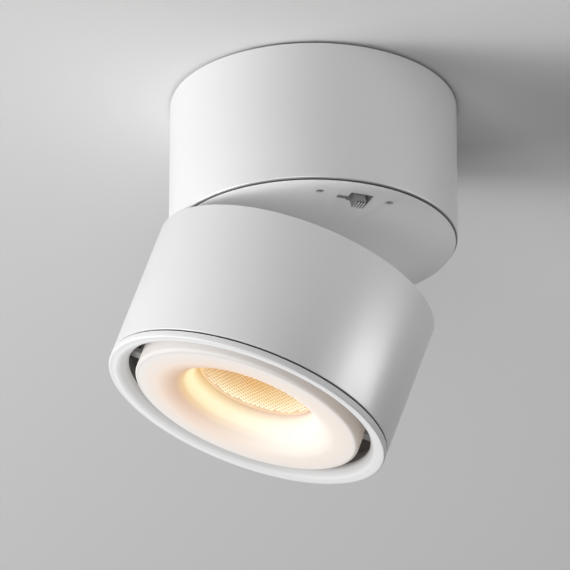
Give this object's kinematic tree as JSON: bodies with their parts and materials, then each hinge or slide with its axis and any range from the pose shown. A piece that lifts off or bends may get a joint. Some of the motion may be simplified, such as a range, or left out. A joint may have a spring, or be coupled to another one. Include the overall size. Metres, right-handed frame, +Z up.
{
  "type": "surface-mounted folding ceiling spotlight",
  "caption": "Drum-shaped ceiling spotlight: a white base drum with a lamp head of the same width that folds out on a hinge at the rim and turns with its plate.",
  "frame": {"origin": "centre of the face that lies on the ceiling", "axes": "+Z up into the ceiling along the drum's axis, the hinge's side is -X, the hinge's pin is along Y"},
  "size_m": [0.12, 0.1, 0.1328],
  "materials": {
    "white_paint": "satin",
    "zinc_steel": "satin",
    "screw_steel": "satin",
    "screw_dark": "satin",
    "black_rubber": "matte",
    "bush_plastic": "matte",
    "driver_plastic": "matte",
    "board_green": "satin",
    "winding_yellow": "matte",
    "capacitor_black": "gloss",
    "terminal_white": "satin",
    "terminal_brass": "satin",
    "switch_black": "matte",
    "switch_grey": "matte",
    "sink_aluminium": "satin",
    "board_aluminium": "satin",
    "emitter_yellow": "gloss",
    "reflector_bright": "polished",
    "lens_clear": "gloss",
    "disc_white": "satin",
    "clip_plastic": "matte"
  },
  "bodies": {
    "base": {"mounting_bracket": "zinc_steel", "cable_grommet": "black_rubber", "bayonet_studs": "zinc_steel", "base_shell": "white_paint", "chassis_posts": "zinc_steel", "chassis_plate": "zinc_steel", "chassis_screws": "screw_steel", "bearing_bush": "bush_plastic", "stop_pin": "screw_steel", "driver_case": "driver_plastic", "driver_lid": "driver_plastic", "driver_board": "board_green", "driver_transformer": "winding_yellow", "driver_capacitors": "capacitor_black", "driver_screws": "screw_steel", "terminal_block": "terminal_white", "terminal_screws": "terminal_brass", "earth_screw": "screw_steel"},
    "turntable": {"swivel_plate": "white_paint", "spindle": "zinc_steel", "spindle_screws": "screw_steel", "thrust_washer": "screw_steel", "disc_spring": "screw_steel", "spindle_nut": "zinc_steel", "hinge_bracket": "zinc_steel", "bracket_screws": "screw_steel", "hinge_pin": "screw_steel", "retaining_clip": "screw_steel", "friction_washers": "bush_plastic", "switch_body": "switch_black", "switch_screws": "screw_dark"},
    "selector": {"switch_slider": "switch_grey"},
    "head": {"head_shell": "white_paint", "lead_grommet": "black_rubber", "hinge_arm": "zinc_steel", "arm_screws": "screw_steel", "heat_sink": "sink_aluminium", "sink_screws": "screw_steel", "led_board": "board_aluminium", "led_emitter": "emitter_yellow", "led_screws": "screw_steel", "reflector_cup": "reflector_bright", "lens": "lens_clear", "inner_disc": "disc_white", "trim_ring": "white_paint", "ring_clips": "clip_plastic"}
  },
  "joints": [
    {"name": "turn", "type": "hinge", "parent": "base", "child": "turntable", "pos_m": [0, 0, 0], "axis": [0, 0, 1], "range_deg": [-170, 170]},
    {"name": "fold", "type": "hinge", "parent": "turntable", "child": "head", "pos_m": [-0.0442, 0, -0.0434], "axis": [0, 1, 0], "range_deg": [-19.4, 70.6]},
    {"name": "select", "type": "slide", "parent": "turntable", "child": "selector", "axis": [0.9314, 0.3641, 0], "range_m": [-0.0009, 0.0027]}
  ]
}
